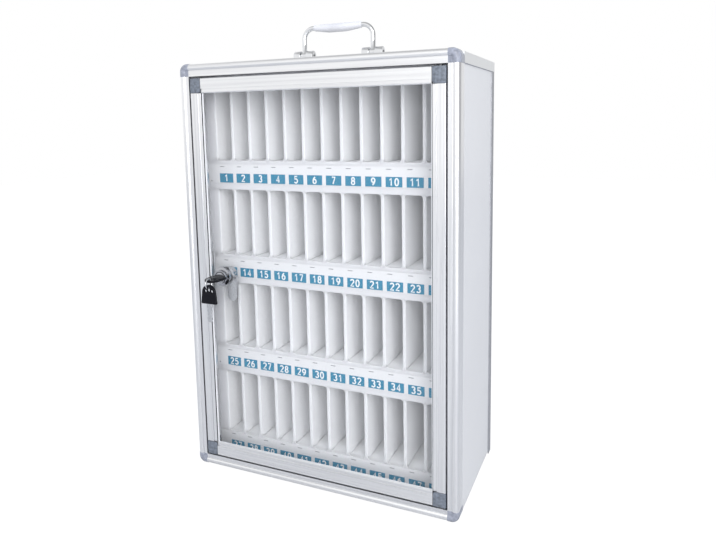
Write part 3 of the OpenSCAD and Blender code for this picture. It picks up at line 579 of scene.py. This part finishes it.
# Each figure's strokes in a box that is half as wide as it is high
SIX = [bow((0.26, 0.3), (0.25, 0.3), 0, 360, 20),
       bow((0.56, 0.3), (0.55, 0.7), 180, 108)]
FIGURES = {
    "0": [bow((0.25, 0.5), (0.25, 0.5), 0, 360, 24)],
    "1": [[(0.05, 0.76), (0.3, 1.0), (0.3, 0.0)]],
    "2": [bow((0.25, 0.73), (0.25, 0.27), 165, -35) + [(0.0, 0.0), (0.52, 0.0)]],
    "3": [bow((0.24, 0.76), (0.23, 0.24), 155, -90), bow((0.24, 0.26), (0.26, 0.26), 90, -155)],
    "4": [[(0.38, 0.0), (0.38, 1.0), (0.0, 0.28), (0.54, 0.28)]],
    "5": [[(0.48, 1.0), (0.09, 1.0), (0.05, 0.54)] + bow((0.24, 0.31), (0.27, 0.31), 125, -150)],
    "6": SIX,
    "7": [[(0.0, 1.0), (0.5, 1.0), (0.17, 0.0)]],
    "8": [bow((0.25, 0.76), (0.21, 0.24), 0, 360, 20),
          bow((0.25, 0.26), (0.25, 0.26), 0, 360, 20)],
    "9": [[(0.51 - x, 1.0 - z) for x, z in stroke] for stroke in SIX],
}
FIGURE_MIDDLE = (0.26, 0.5)
FIGURE_HEIGHT = 8.0 * MM
FIGURE_STROKE = 2.0 * MM
FIGURE_STEP = 6.9 * MM
# The strokes are round bars, pressed flat to this share of their depth
INK_FLATNESS = 0.06


def number_prints():
    """Four rows of white figures on the blue plates."""
    boxes = solid_boxes("number_plates")
    middle_x, middle_z = FIGURE_MIDDLE
    for row in range(ROWS):
        curve = bpy.data.curves.new("figures", "CURVE")
        curve.dimensions = "3D"
        curve.bevel_depth = FIGURE_STROKE / 2
        curve.bevel_resolution = 1
        curve.use_fill_caps = True
        for column in range(COLUMNS):
            low, high = boxes[row * COLUMNS + column]
            text = str(row * COLUMNS + column + 1)
            left = (low.x + high.x) / 2 - (len(text) - 1) * FIGURE_STEP / 2
            for place, figure in enumerate(text):
                for stroke in FIGURES[figure]:
                    spline = curve.splines.new("POLY")
                    spline.points.add(len(stroke) - 1)
                    for point, (x, z) in zip(spline.points, stroke):
                        point.co = (left + place * FIGURE_STEP + (x - middle_x) * FIGURE_HEIGHT,
                                    0, (low.z + high.z) / 2 + (z - middle_z) * FIGURE_HEIGHT, 1)
        mesh = plain_mesh(new_object("figures", curve))
        mesh.transform(Matrix.Translation((0, boxes[0][0].y, 0))
                       @ Matrix.Diagonal((1, INK_FLATNESS, 1, 1)))
        piece("numbers_row_%d" % (row + 1), mesh, number_ink, "case")


# Geometry Nodes


class Tree:
    """A Geometry Nodes tree with named inputs."""

    def __init__(self, name):
        self.group = bpy.data.node_groups.new(name, "GeometryNodeTree")
        face = self.group.interface
        face.new_socket("Geometry", in_out="INPUT", socket_type="NodeSocketGeometry")
        face.new_socket("Geometry", in_out="OUTPUT", socket_type="NodeSocketGeometry")
        self.sockets = {}
        self.start = self.group.nodes.new("NodeGroupInput")
        self.end = self.group.nodes.new("NodeGroupOutput")

    def size(self, name, kind="NodeSocketFloat"):
        socket = self.group.interface.new_socket(name, in_out="INPUT", socket_type=kind)
        self.sockets[name] = socket.identifier
        return self.start.outputs[name]

    def add(self, kind, settings=None, **inputs):
        node = self.group.nodes.new(kind)
        for key, value in (settings or {}).items():
            setattr(node, key, value)
        for key, value in inputs.items():
            give(self.group, node.inputs[key], value)
        return node

    def maths(self, operation, first, second):
        return maths(self.group, operation, first, second)

    def vector(self, x=0.0, y=0.0, z=0.0):
        return self.add("ShaderNodeCombineXYZ", X=x, Y=y, Z=z).outputs[0]

    def cut(self, operation, first, second):
        node = self.add("GeometryNodeMeshBoolean", {"operation": operation, "solver": "EXACT"})
        whole = "Mesh 1" if operation == "DIFFERENCE" else "Mesh 2"
        self.group.links.new(first, node.inputs[whole])
        self.group.links.new(second, node.inputs["Mesh 2"])
        return node.outputs[0]

    def moved(self, geometry, shift):
        return self.add("GeometryNodeTransform", Geometry=geometry,
                        Translation=shift).outputs[0]

    def finish(self, shape):
        """The shape on every point of the incoming mesh, turned as the Turn input says."""
        turn = self.size("Turn", "NodeSocketVector")
        material = self.size("Finish", "NodeSocketMaterial")
        points = self.add("GeometryNodeInstanceOnPoints", Points=self.start.outputs["Geometry"],
                          Instance=shape, Rotation=turn).outputs[0]
        real = self.add("GeometryNodeRealizeInstances", Geometry=points).outputs[0]
        done = self.add("GeometryNodeSetMaterial", Geometry=real, Material=material).outputs[0]
        self.group.links.new(done, self.end.inputs["Geometry"])
        return self

    def grow(self, places, **sizes):
        """The mesh that the tree makes on the places."""
        mesh = bpy.data.meshes.new("places")
        mesh.from_pydata([tuple(place) for place in places], [], [])
        carrier = new_object("places", mesh)
        modifier = carrier.modifiers.new("grow", "NODES")
        modifier.node_group = self.group
        for name, value in sizes.items():
            modifier[self.sockets[name]] = value
        result = plain_mesh(carrier)
        smooth(result)
        return result


def domed_head(tree):
    """A round head with a low dome. Its underside is at the point, its top along Z."""
    width = tree.size("Width")
    height = tree.size("Height")
    dome = tree.size("Dome")
    half = tree.maths("MULTIPLY", width, 0.5)
    disc = tree.add("GeometryNodeMeshCylinder", Vertices=32, Radius=half,
                    Depth=height).outputs["Mesh"]
    disc = tree.moved(disc, tree.vector(z=tree.maths("MULTIPLY", height, 0.5)))
    ball = tree.add("GeometryNodeMeshUVSphere", Segments=48, Rings=40,
                    Radius=dome).outputs["Mesh"]
    ball = tree.moved(ball, tree.vector(z=tree.maths("SUBTRACT", height, dome)))
    return tree.cut("INTERSECT", disc, ball), height


def rivet_tree():
    tree = Tree("rivet_heads")
    return tree.finish(domed_head(tree)[0])


def screw_tree():
    tree = Tree("cross_screws")
    head, height = domed_head(tree)
    arm = tree.size("Arm")
    slit = tree.size("Slit")
    deep = tree.size("Deep")
    twice = tree.maths("MULTIPLY", deep, 2.0)
    lift = tree.vector(z=height)
    for long_x, long_y in ((arm, slit), (slit, arm)):
        bar = tree.add("GeometryNodeMeshCube", Size=tree.vector(long_x, long_y, twice))
        head = tree.cut("DIFFERENCE", head, tree.moved(bar.outputs["Mesh"], lift))
    return tree.finish(head)


def mark_tree():
    tree = Tree("printed_marks")
    size = tree.vector(tree.size("Length"), tree.size("Depth"), tree.size("Height"))
    return tree.finish(tree.add("GeometryNodeMeshCube", Size=size).outputs["Mesh"])


def screw_heads():
    """Cross head screws down both edges of the back."""
    head_high = 1.1 * MM
    places = []
    for low, high in solid_boxes("rear_screws"):
        places.append(((low.x + high.x) / 2, high.y - head_high, (low.z + high.z) / 2))
    mesh = screw_tree().grow(places, Width=5.9 * MM, Height=head_high, Dome=6 * MM,
                             Arm=3.4 * MM, Slit=0.8 * MM, Deep=0.8 * MM,
                             Turn=(math.radians(-90), 0, 0), Finish=zinc)
    piece("rear_screw_heads", mesh, zinc, "case", ["rear_screws"])


def rivet_heads():
    """The strike plate's rivets, outside and inside."""
    head_high = 1.2 * MM
    outer, inner = [], []
    for low, high in solid_boxes("strike_rivets"):
        middle = ((low.y + high.y) / 2, (low.z + high.z) / 2)
        outer.append((low.x + head_high, *middle))
        inner.append((high.x - head_high, *middle))
    sizes = {"Width": 7.5 * MM, "Height": head_high, "Dome": 7 * MM, "Finish": zinc}
    tree = rivet_tree()
    outside = tree.grow(outer, Turn=(0, math.radians(-90), 0), **sizes)
    inside = tree.grow(inner, Turn=(0, math.radians(90), 0), **sizes)
    shape = bmesh.new()
    shape.from_mesh(outside)
    shape.from_mesh(inside)
    both = worked(shape, "rivet_heads")
    smooth(both)
    piece("strike_rivet_heads", both, zinc, "case", ["strike_rivets"])


# The grey line above a number, from the plate's middle and top, and its length
MARK_LEFT = 6.2 * MM
MARK_ABOVE = 8.6 * MM
MARK_LONG = 6.2 * MM
# A pin in a card, from the card's end and foot
PIN_IN = 4 * MM
PIN_UP = 2.5 * MM


def card_marks():
    """A short grey line above each number, to the left, and a pin at each card's ends."""
    places = []
    for low, high in solid_boxes("number_plates"):
        places.append(((low.x + high.x) / 2 - MARK_LEFT, high.y, high.z + MARK_ABOVE))
    mesh = mark_tree().grow(places, Length=MARK_LONG, Height=0.9 * MM, Depth=0.12 * MM,
                            Turn=(0, 0, 0), Finish=mark_ink)
    piece("card_lines", mesh, mark_ink, "case")
    places = []
    for low, high in solid_boxes("label_cards"):
        for x in (low.x + PIN_IN, high.x - PIN_IN):
            places.append((x, low.y, low.z + PIN_UP))
    mesh = rivet_tree().grow(places, Width=1.8 * MM, Height=0.4 * MM, Dome=2 * MM,
                             Turn=(math.radians(90), 0, 0), Finish=mark_ink)
    piece("card_pins", mesh, mark_ink, "case")


# Keys


def slab(outlines, thick, ease):
    """A flat body in the XY plane from closed outlines. The inner ones are openings."""
    curve = bpy.data.curves.new("slab", "CURVE")
    curve.dimensions = "2D"
    curve.fill_mode = "BOTH"
    curve.extrude = thick / 2 - ease
    curve.bevel_depth = ease
    curve.bevel_resolution = 2
    curve.offset = -ease
    for outline in outlines:
        spline = curve.splines.new("POLY")
        spline.points.add(len(outline) - 1)
        for point, (x, y) in zip(spline.points, outline):
            point.co = (x, y, 0, 1)
        spline.use_cyclic_u = True
    mesh = plain_mesh(new_object("slab", curve))
    shape = merged(mesh)
    bmesh.ops.recalc_face_normals(shape, faces=shape.faces)
    shape.to_mesh(mesh)
    shape.free()
    smooth(mesh, EASED_ANGLE)
    return mesh


# The key's head: its shoulder is wider than its crown by a flare on each side. Its middle
# opening is a slot, and a round one lies lower on each side of it
HEAD_L = 23.5 * MM
HEAD_T = 3 * MM
HEAD_EASE = 0.4 * MM
HEAD_FLARE = 1.5 * MM
HEEL_R = 1.2 * MM
EYE_R = 1.9 * MM
EYE_END = 20.5 * MM
EYE_LONG = 1.8 * MM
SIDE_EYE_X = 4.5 * MM
SIDE_EYE_DROP = 2.8 * MM
# The key's blade: it starts inside the head, and each cut is so deep in millimetres
BLADE_W = 7.5 * MM
BLADE_L = 23 * MM
BLADE_T = 2 * MM
BLADE_EASE = 0.25 * MM
BLADE_ROOT = 2 * MM
CUT_DEPTHS = (0.0, 0.9, 0.3, 1.3, 0.6, 1.1, 0.2, 0.8)
CUT_START = -2.6 * MM
CUT_STEP = 2.3 * MM
TIP_L = 2.2 * MM
TIP_IN = (0.6 * MM, 2.2 * MM)


def key_head(width):
    """The moulded head, from its shoulder at the origin, with an arch of three openings."""
    half = width / 2
    top_r = half - HEAD_FLARE
    outline = bow((half - HEEL_R, HEEL_R), (HEEL_R, HEEL_R), -90, 0, 5)
    outline += bow((0, HEAD_L - top_r), (top_r, top_r), 0, 180, 30)
    outline += bow((HEEL_R - half, HEEL_R), (HEEL_R, HEEL_R), 180, 270, 5)
    eye_y = EYE_END - EYE_R
    middle = bow((0, eye_y), (EYE_R, EYE_R), 0, 180, 10)
    middle += bow((0, eye_y - EYE_LONG), (EYE_R, EYE_R), 180, 360, 10)
    sides = [bow((x, eye_y - SIDE_EYE_DROP), (EYE_R, EYE_R), 0, 345, 23)
             for x in (-SIDE_EYE_X, SIDE_EYE_X)]
    return slab([outline, middle, *sides], HEAD_T, HEAD_EASE)


def key_blade():
    """The plated blade with cuts down both edges, from the head's middle to the tip."""
    half = BLADE_W / 2
    edge = [(half, BLADE_ROOT), (half, CUT_START)]
    for number, depth in enumerate(CUT_DEPTHS):
        for along in (0.5, 0.8):
            edge.append((half - depth * MM, CUT_START - (number + along) * CUT_STEP))
    edge += [(half - TIP_IN[0], TIP_L - BLADE_L), (half - TIP_IN[1], -BLADE_L)]
    outline = edge + [(-x, y) for x, y in reversed(edge)]
    return slab([outline], BLADE_T, BLADE_EASE)


def dress_key(node, body, turn):
    """A key's head and blade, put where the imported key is, pointing out or hanging down."""
    low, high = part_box(node)
    middle = (low + high) / 2
    if turn == "out":
        place = Vector((middle.x, low.y + HEAD_L, middle.z))
        matrix = Matrix.Translation(place) @ Matrix.Rotation(math.pi, 4, "X")
    else:
        place = Vector((middle.x, middle.y, high.z - HEAD_L))
        matrix = Matrix.Translation(place) @ Matrix.Rotation(math.pi / 2, 4, "X")
    head = key_head(high.x - low.x)
    head.transform(matrix)
    piece(node + "_head", head, key_black, body, [node])
    blade = key_blade()
    blade.transform(matrix)
    piece(node + "_blade", blade, zinc, body)


# Thin lines and bars

BAR_EASE = 0.1 * MM
# The painted shadow lines at the door's joints: width, depth and how far they stand proud
JOINT_W = 0.6 * MM
JOINT_DEEP = 0.3 * MM
JOINT_PROUD = 0.05 * MM
# The painted shadow line and the pale painted light strip beside the pane: their reach into a
# stile and out over the pane, how far the line lies behind the stile's face, the strip's depth,
# and both ends behind the rails
LINE_REACH = (0.4 * MM, 0.25 * MM)
LIGHT_STRIP_REACH = (0.3 * MM, 1.7 * MM)
LINE_BACK = 0.9 * MM
LIGHT_STRIP_DEEP = 0.8 * MM
STRIP_TUCK = 3 * MM
# The painted shadow line under the cover's edge: its height and how far it goes up into the
# cover's edge, into the side panel and inside the cover's face, and its two ends
SEAM_HIGH = 0.5 * MM
SEAM_UP = 0.1 * MM
SEAM_IN = 0.3 * MM
SEAM_BACK = 0.5 * MM
SEAM_FRONT_END = 0.3 * MM
SEAM_REAR_END = 1 * MM


def bars_mesh(corners):
    """Plain bars from pairs of corners, with their edges eased."""
    shape = bmesh.new()
    for low, high in corners:
        middle = (Vector(low) + Vector(high)) / 2
        size = Vector(high) - Vector(low)
        matrix = Matrix.Translation(middle) @ Matrix.Diagonal((*size, 1))
        bmesh.ops.create_cube(shape, size=1, matrix=matrix)
    bmesh.ops.bevel(shape, geom=shape.edges[:], offset=BAR_EASE, offset_type="OFFSET",
                    segments=1, affect="EDGES")
    return worked(shape, "bars")


def pane_painted_strips():
    """A dark painted shadow line and a pale painted light strip beside the lips of the door's
    upright stiles.
    """
    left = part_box("door_stile_left")
    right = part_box("door_stile_right")
    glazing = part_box("door_pane")[0].y
    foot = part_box("door_rail_bottom")[1].z - STRIP_TUCK
    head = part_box("door_rail_top")[0].z + STRIP_TUCK
    lines, light_strips = [], []
    for bars, reach, front, back in (
            (lines, LINE_REACH, left[0].y + LINE_BACK, glazing - LIGHT_STRIP_DEEP),
            (light_strips, LIGHT_STRIP_REACH, glazing - LIGHT_STRIP_DEEP, glazing)):
        for inner, way in ((left[1].x, 1), (right[0].x, -1)):
            near, far = sorted((inner - way * reach[0], inner + way * reach[1]))
            bars.append(((near, front, foot), (far, back, head)))
    # Painted shadow lines, then pale painted light strips
    piece("pane_shadow_lines", bars_mesh(lines), painted_shadow_black, "door")
    piece("pane_painted_strips", bars_mesh(light_strips), painted_light_pale, "door")


def block_joint_shadows():
    """Dark lines painted as the shadow in the joints where the door's rails and stiles butt
    against its blocks.
    """
    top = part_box("door_rail_top")[1].z
    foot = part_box("door_rail_bottom")[0].z
    bars = []
    for stile in ("door_stile_left", "door_stile_right"):
        low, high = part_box(stile)
        inner = high.x if high.x < 0 else low.x
        face = low.y - JOINT_PROUD
        for joint, end in ((high.z, top), (low.z, foot)):
            near, far = sorted((joint, end))
            bars.append(((inner - JOINT_W / 2, face, near),
                         (inner + JOINT_W / 2, face + JOINT_DEEP, far)))
            bars.append(((low.x, face, joint - JOINT_W / 2),
                         (high.x, face + JOINT_DEEP, joint + JOINT_W / 2)))
    piece("block_joint_shadows", bars_mesh(bars), painted_shadow_black, "door")


def cover_edge_shadows():
    """A dark line painted as the shadow under the turned down edges of the top cover."""
    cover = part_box("top_cover")
    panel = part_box("side_panel_right")
    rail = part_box("rail_right")
    bars = []
    for way in (-1, 1):
        near, far = sorted((way * (panel[1].x - SEAM_IN), way * (cover[1].x - SEAM_BACK)))
        bars.append(((near, rail[1].y + SEAM_FRONT_END, cover[0].z - SEAM_HIGH),
                     (far, cover[1].y - SEAM_REAR_END, cover[0].z + SEAM_UP)))
    piece("cover_edge_shadows", bars_mesh(bars), painted_shadow_grey, "case")


number_prints()
pane_painted_strips()
block_joint_shadows()
cover_edge_shadows()
card_marks()
screw_heads()
rivet_heads()
dress_key("key", "key", "out")
dress_key("spare_key", "spare_key", "down")
for name in finishes[cap_plastic]:
    eased(name, 0.35 * MM, cap_plastic, "case")
for name in finishes[block_plastic]:
    eased(name, 0.3 * MM, block_plastic, "door")
for name in ("bracket_left", "bracket_right"):
    eased(name, 0.5 * MM, chrome, "case")
eased("handle_bail", 0, chrome, "handle")
eased("handle_grip", 0, grip_white, "handle")
eased("lock_barrel", 0.4 * MM, lock_chrome_painted_dark, "door")
eased("lock_plug", 0.25 * MM, lock_chrome_painted_dark, "lock_plug")
eased("key_ring", 0, chrome, "key_ring")

bpy.context.scene.view_settings.view_transform = "Standard"
